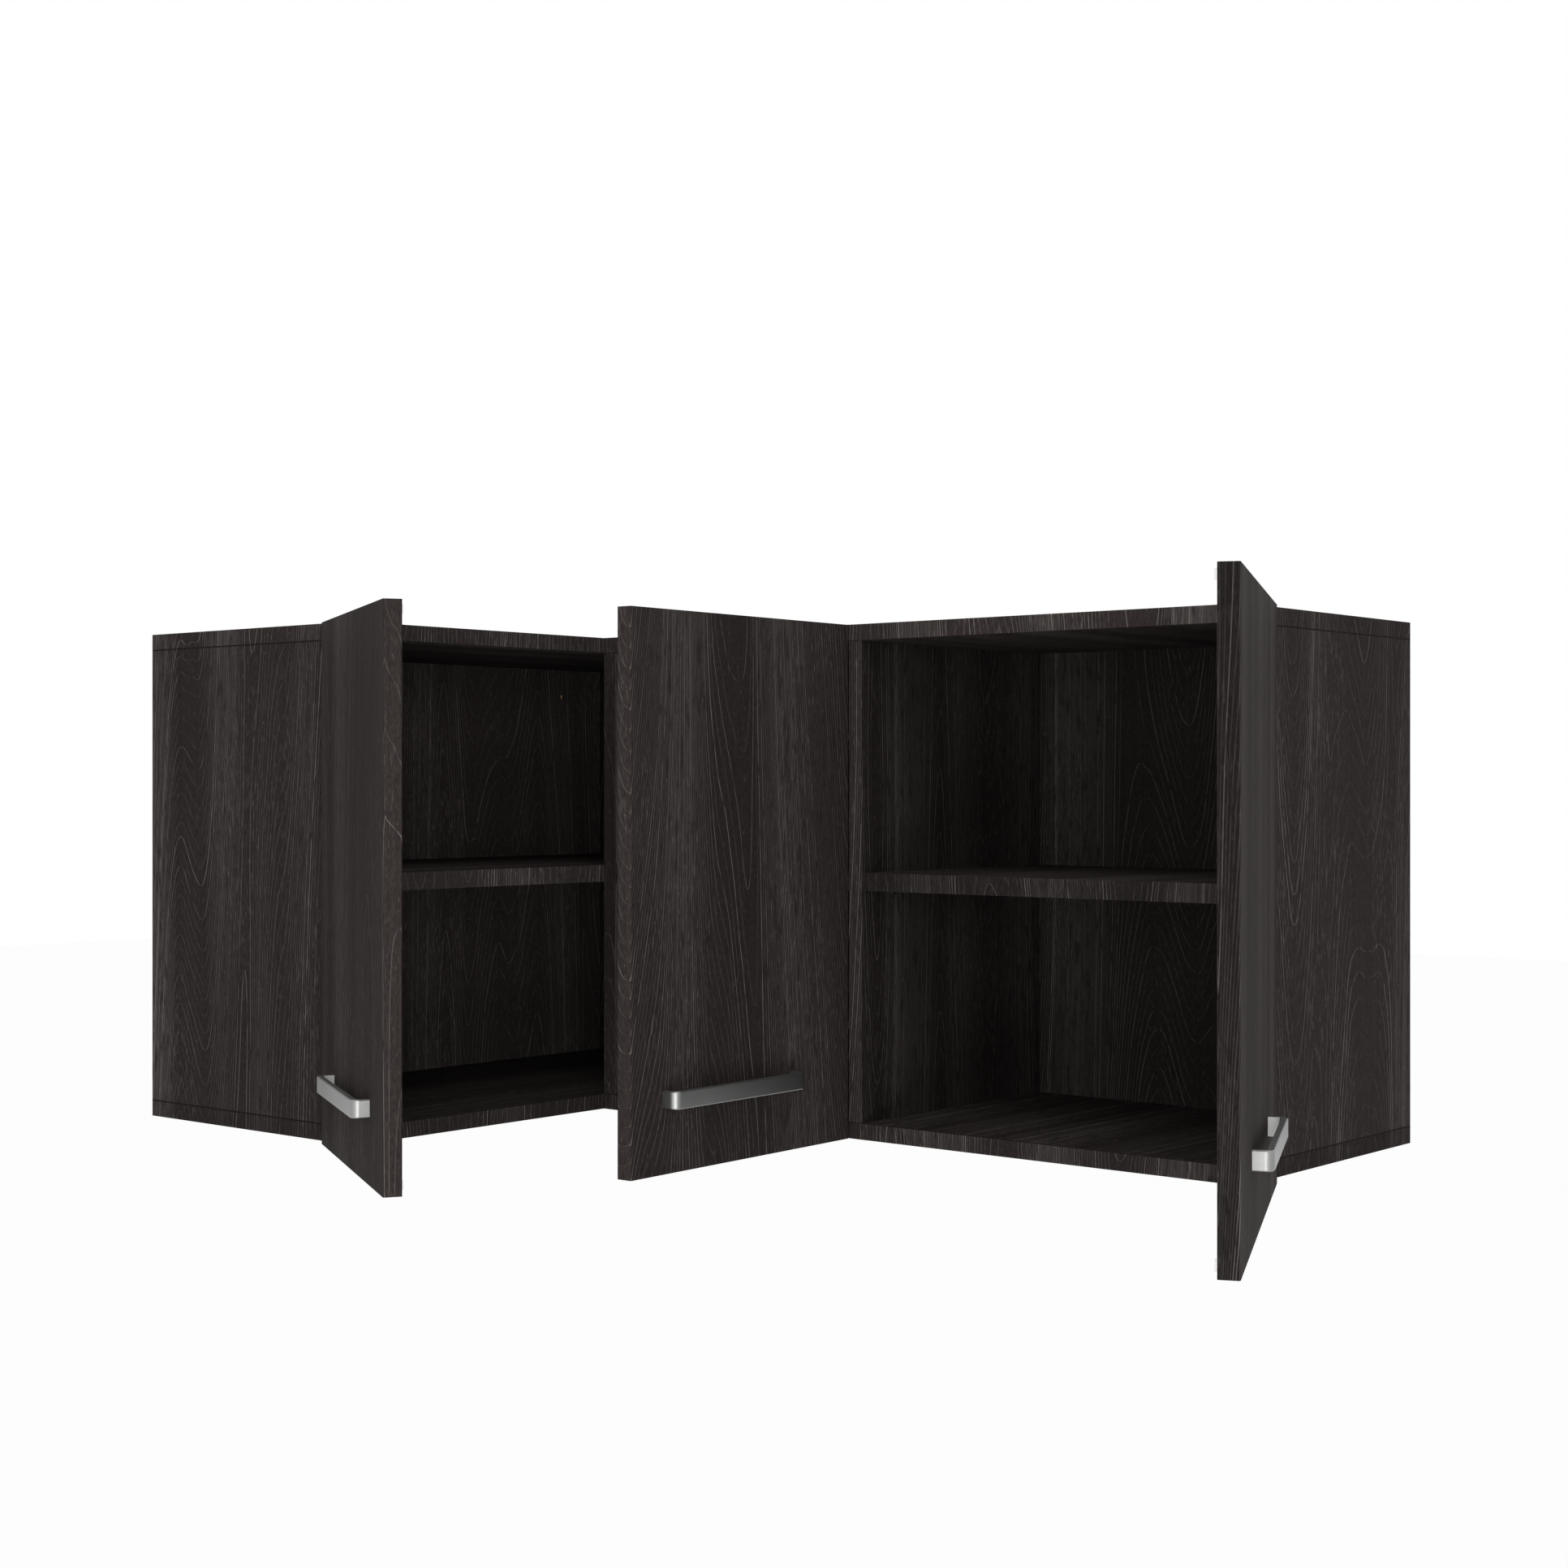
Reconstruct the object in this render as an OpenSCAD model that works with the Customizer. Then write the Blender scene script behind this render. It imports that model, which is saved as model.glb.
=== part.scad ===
// Corner wall cabinet: an L-shaped carcass with three hinged doors.
// The origin is the room corner at the cabinet's underside.
// +X runs along the right wing, -Y along the left wing, +Z is up.

/* [Carcass] */
// Length of the right wing along the wall
right_len = 1000; // [900:10:1200]
// Length of the left wing along the wall
left_len = 610; // [560:10:700]
// Depth of both wings without the doors
depth = 297; // [260:1:330]
// Height of the carcass
height = 460; // [420:5:600]
// Thickness of the carcass boards
board_t = 15; // [15:1:18]
// Thickness of the shelves
shelf_t = 16; // [15:1:18]
// Width of the right compartment, between its two boards
right_bay_w = 367.5; // [340:0.5:420]

/* [Back] */
// Thickness of the back panels
back_t = 3; // [3:1:5]
// Space behind the back panels, filled by the hanging rails
rail_t = 12; // [12:1:16]
// Height of the hanging rails
rail_h = 60; // [40:5:90]
// Depth of the grooves that hold the back panels
groove_d = 6; // [4:1:8]
// Clearance on each side of a back panel in its groove
groove_fit = 0.1; // [0.05:0.05:0.4]
// Diameter of the wall screw holes
wall_hole_d = 6; // [5:0.5:8]
// Distance of a wall screw hole from the end of its rail
wall_hole_inset = 60; // [40:5:90]

/* [Doors] */
// Thickness of the doors
door_t = 15; // [15:1:18]
// Gap between the carcass and a closed door
door_gap = 2.6; // [2.6:0.1:3.5]
// How far a door's hinge edge lies inside the carcass side
door_inset = 0.5; // [0.5:0.1:1.5]
// Gap between the two doors that meet on the divider
door_pair_gap = 4; // [2:0.5:5]
// Gap between a closed door and the inner corner line
door_corner_gap = 1; // [1:0.5:3]
// How much shorter a door is than the carcass, at each end
door_end_gap = 0.5; // [0.5:0.5:3]
// Rounding of the doors' upright edges
door_edge_r = 1.5; // [1.5:0.1:2]
// Opening angle of the left door as shown
left_open = 120; // [90:1:120]
// Opening angle of the middle door as shown
middle_open = 92; // [80:1:95]
// Opening angle of the right door as shown
right_open = 115; // [90:1:120]

/* [Handles] */
// Distance between the centres of a handle's feet
handle_pitch = 168; // [128:8:192]
// Height of the handle's flat bar
handle_h = 14.5; // [12:0.5:20]
// Thickness of the flat bar
handle_bar = 5; // [5:0.5:8]
// How far the handle stands out of the door
handle_out = 15; // [15:1:30]
// Inner bend radius of the bar
handle_inner = 1.5; // [1:0.5:4]
// Bevel along the bar's outer edges
handle_bevel = 0.8; // [0.3:0.1:1.5]
// Height of the handle's centre above the carcass underside
handle_z = 61.4; // [50:0.1:120]
// How far the outer doors' handles sit off centre, towards the free edge
handle_shift = 3.5; // [0:0.5:10]
// Hinge side's share of the width left beside the middle door's handle
middle_handle_share = 0.68; // [0.5:0.02:0.7]
// Diameter of the handle screws
handle_screw_d = 3.5; // [3:0.5:4]
// Depth of a handle screw in its foot
handle_screw_in = 8; // [6:1:10]

/* [Hinges] */
// Distance of a hinge from the carcass end
hinge_inset = 100; // [70:5:120]
// Outer diameter of a hinge cup
cup_d = 35; // [35:1:40]
// Depth of a hinge cup in the door
cup_depth = 12.5; // [12:0.1:13]
// Wall thickness of a hinge cup
cup_wall = 1; // [0.8:0.1:1.2]
// Floor thickness of a hinge cup
cup_floor = 0.5; // [0.4:0.1:0.8]
// Clearance round and behind a cup in its bore
cup_fit = 0.1; // [0.05:0.05:0.3]
// Wood between the door's edge and the cup, outer doors
cup_tab = 3.5; // [3.5:0.5:5]
// Thickness of a cup's flange on the door's back
flange_t = 1.2; // [1:0.1:1.5]
// Distance between the two screws of a cup
cup_screw_pitch = 45; // [45:1:52]
// Thickness of a mounting plate
plate_t = 2; // [1.5:0.5:3]
// Distance of a mounting plate's screws behind the front
plate_back = 37; // [37:1:50]
// Distance between the two screws of a mounting plate
plate_screw_pitch = 32; // [28:1:36]
// Diameter of the hinge screws
hinge_screw_d = 3.5; // [3:0.5:4]
// Length of the hinge screws
hinge_screw_len = 12; // [9:1:13]
// Diameter of the hinge screws' heads
hinge_head_d = 6.5; // [6:0.5:7]
// Height of the hinge screws' heads
hinge_head_h = 1; // [0.8:0.1:1.2]
// Width of an arm, along the hinge axis
arm_w = 11; // [10:0.5:13]
// Thickness of an arm's cheeks
arm_cheek = 2; // [1.5:0.5:2.5]
// Clearance beside a lever or finger
side_play = 0.3; // [0.2:0.1:0.5]
// Diameter of the hinge pins
pin_d = 3; // [3:0.5:4]
// Radial running clearance round a hinge pin
pin_play = 0.05; // [0.02:0.01:0.1]

/* [Shelves] */
// Diameter of the shelf pins
shelf_pin_d = 5; // [5:0.5:6]
// Depth of a shelf pin in its board
shelf_pin_in = 7; // [5:0.5:7]
// Length of a shelf pin under the shelf
shelf_pin_out = 9; // [7:1:14]
// Distance of a shelf pin from the shelf's front and back edges
shelf_pin_inset = 37; // [37:1:60]
// Gap at each end of a shelf
shelf_gap = 0.5; // [0.5:0.5:1.5]

/* [Fasteners] */
// Diameter of the carcass screws
screw_d = 5; // [5:0.5:7]
// Length of the carcass screws
screw_len = 50; // [40:5:60]
// Diameter of the carcass screw heads
screw_head_d = 9; // [8:0.5:11]
// Height of the carcass screw heads
screw_head_h = 3; // [2:0.5:4]
// Diameter of the dowels
dowel_d = 8; // [6:1:8]
// Length of the dowels
dowel_len = 30; // [25:5:35]
// Depth of a dowel's end in the top or bottom board
dowel_in = 10; // [8:1:12]
// Distance of a joint's front screw from the carcass front
joint_front = 40; // [30:5:60]
// Distance of a joint's back screw from the back panel
joint_back = 50; // [40:5:80]
// Distance of a dowel from its screw
dowel_step = 32; // [25:1:60]

/* [Hidden] */

// How far a cut runs past a face
eps = 1;
// How far joined shapes of one piece reach into each other
seam = 0.5;
$fn = 48;

wood = [0.16, 0.14, 0.13];
steel = [0.72, 0.72, 0.70];
satin = [0.62, 0.62, 0.60];
beech = [0.72, 0.58, 0.42];
clear = [0.85, 0.85, 0.82];

// Space between the top and bottom boards
inner_h = height - 2 * board_t;
// Plane of the back panels' front faces, measured from the wall
back_front = rail_t + back_t;
// Depth of the upright boards that stop at the back panels
inner_depth = depth - back_front;
// Divider's position along the right wing
divider_x = right_len - board_t - right_bay_w - board_t;
divider_mid = divider_x + board_t / 2;
// Shelves lie at mid height
shelf_z = (height - shelf_t) / 2;
// Hinge edge of the middle door
middle_edge_x = divider_mid - door_pair_gap / 2;
hinge_zs = [hinge_inset, height - hinge_inset];

door_h = height - 2 * door_end_gap;
door_z = door_end_gap;
// Doors stop short of the inner corner line by the neighbour's space
door_clear = door_gap + door_corner_gap;
left_door_w = left_len - depth - door_inset - door_clear - board_t;
middle_door_w = middle_edge_x - (depth + door_clear + board_t);
right_door_w = right_len - door_inset - (divider_mid + door_pair_gap / 2);

// Hinge geometry is drawn in one plane: x runs inward along the wing
// from the outer face of the side, y runs forward from the carcass front.
// Turning point of an outer door; a wider door gap puts it further back
outer_axis_in = 6.7;
outer_axis_back = 6.8;
outer_axis = [outer_axis_in, -(door_gap + outer_axis_back)];
// Lever's pin on the arm, inward of the side's inner face
arm_pin_in = 4.8;
arm_pin_back = 18.9;
arm_pin = [board_t + arm_pin_in, -arm_pin_back];
// Lever's outer pin when the door is closed, in the door's thickness
lever_tip_in = 12.3;
lever_tip_deep = 4.8;
lever_tip = [lever_tip_in, door_gap + lever_tip_deep];
// Corners of the open lever: inward of the side, and outward of it
knee_clear = 3.3;
knee_front = 2.95;
elbow_clear = 1;
elbow_front = 3.1;
lever_knee = [board_t + knee_clear, knee_front];
lever_elbow = [-elbow_clear, elbow_front];
// Largest opening angle of an outer door and the lever's share of it
outer_travel = 120;
lever_ratio = 0.525;
// Thickness of the lever's strip, its width and the radius of its eyes
lever_t = 3;
lever_eye_r = 2.6;
lever_w = arm_w - 2 * arm_cheek - 2 * side_play;
// Slot for the lever's outer pin, from its shallow to its deep end
slot_side = 0.5;
slot_play = 0.9;
slot_shallow = 2.2;
slot_deep = 8.1;
slot_x = lever_tip_in - slot_side;
slot_r = pin_d / 2 + slot_play;

// Turning point of the middle door, its real hinge pin, from the door's
// edge and from its back
middle_axis_in = 7.95;
middle_axis_deep = 9.4;
middle_axis = [middle_axis_in, door_gap + middle_axis_deep];
// Divider's left face seen from the middle door's hinge edge
middle_face = middle_edge_x - divider_x;
middle_inset = 0;
middle_tab = 3.5;
// Finger of the middle hinge: its strip, its eye and its leg's place
finger_t = 3.6;
finger_eye_r = 2.3;
finger_leg_in = 14.8;
finger_root = 7;
finger_bend = 8;

// Cup: its flange's rim, the round screw ears, and how far the flange laps
// over the side board behind the closed door
cup_r = cup_d / 2;
flange_rim = 1;
ear_d = 11;
ear_in = 8;
flange_lap = 2;
flange_start = board_t - flange_lap;
cheek_gap = lever_w + 2 * side_play;
cheek_end = 1;

// Mounting plate and arm, measured back from the carcass front
plate_front = 27;
plate_wing = 12;
plate_rim = 1;
ridge_h = 3;
ridge_inset = 3;
arm_h = 8;
arm_front = 24;
arm_tail = 30;
arm_back = plate_back + arm_tail;
arm_heel = 3;
arm_eye_r = 4.2;
fork_back = 25;
arm_screw_d = 4;
arm_head_d = 7;
arm_head_h = 1.5;
arm_screw_inset = 8;
arm_screw_ahead = 4;
arm_screw_ys = [-arm_back + arm_screw_inset, -plate_back + arm_screw_ahead];

// Local hinge plane placed on each wing; the left wing's is mirrored.
module on_left() {
    translate([depth, -left_len, 0]) mirror([1, -1, 0]) children();
}

module on_right() {
    translate([right_len, -depth, 0]) rotate([0, 0, 180]) children();
}

module on_middle() {
    translate([middle_edge_x, -depth, 0]) rotate([0, 0, 180]) children();
}

// Turns a closed door or lever about its axis by an opening angle.
module opened(axis, angle) {
    translate([axis[0], axis[1], 0])
        rotate([0, 0, angle])
            translate([-axis[0], -axis[1], 0]) children();
}

module each_hinge() {
    for (z = hinge_zs)
        translate([0, 0, z]) children();
}

module board(from, size) {
    translate(from) cube(size);
}

// First and last screw of the joint on each upright's end: x and y of both.
left_side_mid = -left_len + board_t / 2;
joint_ys = [-depth + joint_front, -back_front - joint_back];
upright_ends = concat(
    [[[depth - joint_front, left_side_mid], [back_front + joint_back, left_side_mid]]],
    [for (x = [depth + board_t / 2, divider_mid, right_len - board_t / 2])
        [[x, joint_ys[0]], [x, joint_ys[1]]]]);

function toward(a, b, d) = a + (b - a) * d / norm(b - a);

module screw_at_joints(d, z, len) {
    for (pair = upright_ends, p = pair)
        translate([p[0], p[1], z]) cylinder(d = d, h = len);
}

module dowels_at_joints(z, len) {
    for (pair = upright_ends, k = [0, 1]) {
        p = toward(pair[k], pair[1 - k], dowel_step);
        translate([p[0], p[1], z]) cylinder(d = dowel_d, h = len);
    }
}

// Screws and dowels of one horizontal board, drawn from its outer face.
module joint_screws() {
    screw_at_joints(screw_head_d, 0, screw_head_h);
    screw_at_joints(screw_d, 0, screw_len);
}

module joint_dowels() {
    dowels_at_joints(board_t - dowel_in, dowel_len);
}

// The same things for the bottom board and, turned over, the top board.
module both_ends() {
    children();
    translate([0, 0, height]) mirror([0, 0, 1]) children();
}

module wing_plan() {
    square_from(0, -depth, right_len, depth);
    square_from(0, -left_len, depth, left_len);
}

module square_from(x, y, w, d) {
    translate([x, y]) square([w, d]);
}

module groove_plan() {
    square_from(rail_t, -back_front - groove_fit, right_len - board_t - rail_t + groove_d,
        back_t + 2 * groove_fit);
    square_from(rail_t - groove_fit, -left_len + board_t - groove_d, back_t + 2 * groove_fit,
        left_len - board_t + groove_d - rail_t);
}

module horizontal_board() {
    difference() {
        linear_extrude(board_t) wing_plan();
        translate([0, 0, board_t - groove_d]) linear_extrude(groove_d + eps) groove_plan();
        joint_screws();
        joint_dowels();
    }
}

module bottom_board() {
    color(wood) horizontal_board();
}

module top_board() {
    color(wood) translate([0, 0, height]) mirror([0, 0, 1]) horizontal_board();
}

module joint_holes() {
    both_ends() {
        joint_screws();
        joint_dowels();
    }
}

// Shelf pins of the left, middle and right compartments.
left_pin_xs = [back_front + shelf_pin_inset, depth - shelf_pin_inset];
right_pin_ys = [-back_front - shelf_pin_inset, -depth + shelf_pin_inset];
pin_axis_z = shelf_z - shelf_pin_d / 2;

module pin_along_x(x, y, dir) {
    translate([x, y, pin_axis_z]) rotate([0, 90 * dir, 0])
        translate([0, 0, -shelf_pin_in]) cylinder(d = shelf_pin_d, h = shelf_pin_in + shelf_pin_out);
}

module pin_along_y(x, y, dir) {
    translate([x, y, pin_axis_z]) rotate([-90 * dir, 0, 0])
        translate([0, 0, -shelf_pin_in]) cylinder(d = shelf_pin_d, h = shelf_pin_in + shelf_pin_out);
}

module left_shelf_pins_left() {
    for (x = left_pin_xs)
        pin_along_y(x, -left_len + board_t, 1);
}

module left_shelf_pins_right() {
    for (y = right_pin_ys)
        pin_along_x(depth, y, -1);
}

module middle_shelf_pins_left() {
    for (y = right_pin_ys)
        pin_along_x(depth + board_t, y, 1);
}

module middle_shelf_pins_right() {
    for (y = right_pin_ys)
        pin_along_x(divider_x, y, -1);
}

module right_shelf_pins_left() {
    for (y = right_pin_ys)
        pin_along_x(divider_x + board_t, y, 1);
}

module right_shelf_pins_right() {
    for (y = right_pin_ys)
        pin_along_x(right_len - board_t, y, -1);
}

module shelf_pins() {
    color(steel) {
        left_shelf_pins_left();
        left_shelf_pins_right();
        middle_shelf_pins_left();
        middle_shelf_pins_right();
        right_shelf_pins_left();
        right_shelf_pins_right();
    }
}

module plate_pilots(face) {
    each_hinge() plate_screw_pair(face);
}

module side_left() {
    color(wood) difference() {
        board([0, -left_len, board_t], [depth, board_t, inner_h]);
        board([rail_t - groove_fit, -left_len + board_t - groove_d, 0],
            [back_t + 2 * groove_fit, groove_d + eps, height]);
        joint_holes();
        left_shelf_pins_left();
        on_left() plate_pilots(board_t);
    }
}

module side_right() {
    color(wood) difference() {
        board([right_len - board_t, -depth, board_t], [board_t, depth, inner_h]);
        board([right_len - board_t - eps, -back_front - groove_fit, 0],
            [groove_d + eps, back_t + 2 * groove_fit, height]);
        joint_holes();
        right_shelf_pins_right();
        on_right() plate_pilots(board_t);
    }
}

module corner_upright() {
    color(wood) difference() {
        board([depth, -depth, board_t], [board_t, inner_depth, inner_h]);
        joint_holes();
        left_shelf_pins_right();
        middle_shelf_pins_left();
    }
}

module divider() {
    color(wood) difference() {
        board([divider_x, -depth, board_t], [board_t, inner_depth, inner_h]);
        joint_holes();
        middle_shelf_pins_right();
        right_shelf_pins_left();
        on_middle() plate_pilots(middle_face);
    }
}

// Back panels reach into the grooves, less a little clearance.
panel_end_gap = 0.5;
panel_in = groove_d - panel_end_gap;
panel_z = board_t - panel_in;
panel_h = inner_h + 2 * panel_in;
rail_zs = [board_t, height - board_t - rail_h];
wall_hole_z = height - board_t - rail_h / 2;
right_hole_xs = [rail_t + wall_hole_inset, right_len - board_t - wall_hole_inset];
left_hole_ys = [-rail_t - wall_hole_inset - back_t, -left_len + board_t + wall_hole_inset];

module right_wall_holes() {
    for (x = right_hole_xs)
        translate([x, eps, wall_hole_z]) rotate([90, 0, 0])
            cylinder(d = wall_hole_d, h = back_front + 2 * eps);
}

module left_wall_holes() {
    for (y = left_hole_ys)
        translate([-eps, y, wall_hole_z]) rotate([0, 90, 0])
            cylinder(d = wall_hole_d, h = back_front + 2 * eps);
}

module back_panel_right() {
    color(wood) difference() {
        board([rail_t, -back_front, panel_z],
            [right_len - board_t - rail_t + panel_in, back_t, panel_h]);
        right_wall_holes();
    }
}

module back_panel_left() {
    color(wood) difference() {
        board([rail_t, -left_len + board_t - panel_in, panel_z],
            [back_t, left_len - board_t + panel_in - back_front, panel_h]);
        left_wall_holes();
    }
}

module rail_right(z) {
    board([rail_t, -rail_t, z], [right_len - board_t - rail_t, rail_t, rail_h]);
}

module rail_left(z) {
    board([0, -left_len + board_t, z], [rail_t, left_len - board_t - rail_t, rail_h]);
}

module top_rail_right() {
    color(beech) difference() {
        rail_right(rail_zs[1]);
        right_wall_holes();
    }
}

module top_rail_left() {
    color(beech) difference() {
        rail_left(rail_zs[1]);
        left_wall_holes();
    }
}

module bottom_rail_right() {
    color(beech) rail_right(rail_zs[0]);
}

module bottom_rail_left() {
    color(beech) rail_left(rail_zs[0]);
}

module corner_batten() {
    color(beech) board([0, -rail_t, board_t], [rail_t, rail_t, inner_h]);
}

module shelf_left() {
    color(wood) board([back_front, -left_len + board_t + shelf_gap, shelf_z],
        [depth - back_front - shelf_gap, left_len - board_t - shelf_gap - back_front, shelf_t]);
}

module bay_shelf(x0, x1) {
    board([x0 + shelf_gap, -depth, shelf_z], [x1 - x0 - 2 * shelf_gap, inner_depth, shelf_t]);
}

module shelf_middle() {
    color(wood) bay_shelf(depth + board_t, divider_x);
}

module shelf_right() {
    color(wood) bay_shelf(divider_x + board_t, right_len - board_t);
}

module carcass_screws() {
    color(steel) both_ends() joint_screws();
}

module dowels() {
    color(beech) both_ends() joint_dowels();
}

// Board outline with rounded corners, made of a cross and four discs.
module rounded_plan(from, size, r) {
    square_from(from[0] + r, from[1], size[0] - 2 * r, size[1]);
    square_from(from[0], from[1] + r, size[0], size[1] - 2 * r);
    for (x = [from[0] + r, from[0] + size[0] - r], y = [from[1] + r, from[1] + size[1] - r])
        translate([x, y]) circle(r);
}

function cup_mid(inset, tab) = inset + tab + cup_r;

module cup_bore(mid) {
    each_hinge() translate([mid, door_gap - eps, 0]) rotate([-90, 0, 0])
        cylinder(r = cup_r + cup_fit, h = cup_depth + cup_fit + eps);
}

module cup_screw_pair(mid) {
    for (s = [-1, 1])
        translate([mid + ear_in, door_gap, s * cup_screw_pitch / 2]) rotate([-90, 0, 0])
            children();
}

// Screws through the door into the handle's feet, their heads on its back.
handle_head_h = 2.2;
handle_head_d = 7.5;

module handle_screw_pair(handle_x) {
    for (s = [-1, 1])
        translate([handle_x + s * handle_pitch / 2, door_gap, handle_z]) rotate([-90, 0, 0]) {
            translate([0, 0, -handle_head_h]) cylinder(d = handle_head_d, h = handle_head_h);
            cylinder(d = handle_screw_d, h = door_t + handle_screw_in);
        }
}

module door_closed(inset, width, mid, handle_x) {
    difference() {
        translate([0, 0, door_z]) linear_extrude(door_h)
            rounded_plan([inset, door_gap], [width, door_t], door_edge_r);
        cup_bore(mid);
        each_hinge() cup_screw_pair(mid) cylinder(d = hinge_screw_d, h = hinge_screw_len - flange_t);
        handle_screw_pair(handle_x);
    }
}

// Section of the handle's flat bar: x runs from its inner to its outer
// face, y up; the outer edges are bevelled.
module bar_section() {
    half = handle_h / 2;
    polygon([[0, -half], [handle_bar - handle_bevel, -half], [handle_bar, handle_bevel - half],
        [handle_bar, half - handle_bevel], [handle_bar - handle_bevel, half], [0, half]]);
}

// The bar bent to a bow, its feet on the plane y = 0 and centred on x = 0.
module handle_bow() {
    half = handle_len / 2;
    bend = handle_inner + handle_bar;
    translate([bend - half, handle_out - handle_bar, 0]) rotate([90, 0, 90])
        linear_extrude(2 * (half - bend)) bar_section();
    for (side = [0, 1])
        mirror([side, 0, 0]) {
            translate([bend - half, handle_out - bend, 0]) rotate([0, 0, 90])
                rotate_extrude(angle = 90) translate([handle_inner, 0]) bar_section();
            translate([handle_bar - half, 0, 0]) rotate([90, 0, 180])
                linear_extrude(handle_out - bend) bar_section();
        }
}

module handle_closed(handle_x) {
    difference() {
        translate([handle_x, door_gap + door_t, handle_z]) handle_bow();
        handle_screw_pair(handle_x);
    }
}

// Cup: a drawn shell with a flange, cheeks for the pin and two screw ears.
module flange_plan(mid) {
    intersection() {
        union() {
            translate([mid, 0]) circle(cup_r + flange_rim);
            for (s = [-1, 1])
                translate([mid + ear_in, s * cup_screw_pitch / 2]) circle(d = ear_d);
            square_from(mid + ear_in - ear_d / 2, -cup_screw_pitch / 2, ear_d, cup_screw_pitch);
        }
        square_from(flange_start, -cup_d, 2 * cup_d, 2 * cup_d);
    }
}

// Stands a plan up against the door: its thickness runs forward from y.
module facing_door(y) {
    translate([0, y, 0]) rotate([-90, 0, 0]) children();
}

module cup_body(mid, r, from, h) {
    facing_door(from) translate([mid, 0, 0]) cylinder(r = r, h = h);
}

module cup_cheeks(mid) {
    cheek_mid = (cheek_gap + arm_cheek) / 2;
    intersection() {
        cup_body(mid, cup_r - cup_wall / 2, door_gap, cup_depth - cup_floor / 2);
        for (s = [-1, 1])
            translate([mid - cup_r, door_gap - eps, s * cheek_mid - arm_cheek / 2])
                cube([cup_r - cheek_end, cup_depth + eps, arm_cheek]);
    }
}

module cup_shell(mid) {
    difference() {
        union() {
            cup_body(mid, cup_r, door_gap, cup_depth);
            facing_door(door_gap - flange_t) linear_extrude(flange_t) flange_plan(mid);
        }
        cup_body(mid, cup_r - cup_wall, door_gap - flange_t - eps,
            cup_depth - cup_floor + flange_t + eps);
        cup_screw_pair(mid) translate([0, 0, -flange_t - eps])
            cylinder(d = hinge_screw_d, h = flange_t + 2 * eps);
    }
    cup_cheeks(mid);
}

// Round hole or pin along the hinge axis, centred on a hinge's middle.
module across(at, d, len) {
    translate([at[0], at[1], -len / 2]) cylinder(d = d, h = len);
}

module pin_slot() {
    ends = [door_gap + slot_shallow, door_gap + slot_deep];
    translate([0, 0, -arm_w]) linear_extrude(2 * arm_w) {
        square_from(slot_x - slot_r, ends[0], 2 * slot_r, ends[1] - ends[0]);
        for (y = ends)
            translate([slot_x, y]) circle(slot_r);
    }
}

module hinge_cups_outer() {
    each_hinge() difference() {
        cup_shell(outer_cup_mid);
        pin_slot();
    }
}

module hinge_cups_middle_closed() {
    each_hinge() difference() {
        cup_shell(middle_cup_mid);
        across(middle_axis, pin_d, 2 * arm_w);
    }
}

module cup_screws(mid) {
    each_hinge() cup_screw_pair(mid) translate([0, 0, -flange_t]) {
        cylinder(d = hinge_screw_d, h = hinge_screw_len);
        translate([0, 0, -hinge_head_h]) cylinder(d = hinge_head_d, h = hinge_head_h);
    }
}

// Mounting plate: a base with two screw wings and a ridge for the arm.
module plate_screw_pair(face) {
    for (s = [-1, 1])
        translate([face + plate_t, -plate_back, s * plate_screw_pitch / 2]) rotate([0, -90, 0]) {
            cylinder(d = hinge_screw_d, h = hinge_screw_len);
            translate([0, 0, -hinge_head_h]) cylinder(d = hinge_head_d, h = hinge_head_h);
        }
}

module plate(face) {
    wings_h = plate_screw_pitch + plate_wing;
    base_w = arm_w + 2 * plate_rim;
    difference() {
        union() {
            translate([face, -plate_back - plate_wing / 2, -wings_h / 2])
                cube([plate_t, plate_wing, wings_h]);
            translate([face, -arm_back, -base_w / 2])
                cube([plate_t, arm_back - plate_front, base_w]);
            translate([face + plate_t - seam, -arm_back + ridge_inset, -lever_w / 2])
                cube([ridge_h + seam, arm_back - plate_front - 2 * ridge_inset, lever_w]);
        }
        plate_screw_pair(face);
    }
}

module hinge_plates() {
    color(steel) {
        on_left() each_hinge() plate(board_t);
        on_right() each_hinge() plate(board_t);
        on_middle() each_hinge() plate(middle_face);
    }
}

module hinge_plate_screws() {
    color(steel) {
        on_left() each_hinge() plate_screw_pair(board_t);
        on_right() each_hinge() plate_screw_pair(board_t);
        on_middle() each_hinge() plate_screw_pair(middle_face);
    }
}

// Arm of an outer hinge: a channel over the plate's ridge, with the
// lever's eye between its two cheeks.
module arm_plan(base) {
    square_from(base, -arm_back, arm_h, arm_back - arm_front);
    polygon([[base, -arm_front - seam], [base + arm_h, -arm_front - seam],
        [arm_pin[0] + arm_eye_r, arm_pin[1]], [arm_pin[0] - arm_eye_r, arm_pin[1]],
        [base, arm_pin[1] - arm_heel]]);
    translate(arm_pin) circle(arm_eye_r);
}

// Space for the plate's ridge, open at the arm's tail.
module ridge_channel(base, len) {
    translate([base - eps, -arm_back - eps, -cheek_gap / 2]) cube([ridge_h + eps, len + eps, cheek_gap]);
}

module arm_outer() {
    base = board_t + plate_t;
    difference() {
        translate([0, 0, -arm_w / 2]) linear_extrude(arm_w) arm_plan(base);
        ridge_channel(base, arm_back);
        translate([0, -fork_back, -cheek_gap / 2])
            cube([base + arm_h + arm_eye_r, fork_back + arm_pin[1] + arm_eye_r + eps, cheek_gap]);
        across(arm_pin, pin_d, 2 * arm_w);
        arm_screw_holes(base);
    }
}

module arm_screw_holes(base) {
    for (y = arm_screw_ys)
        translate([base + ridge_h - eps, y, 0]) rotate([0, 90, 0])
            cylinder(d = arm_screw_d, h = arm_h + eps);
}

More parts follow.
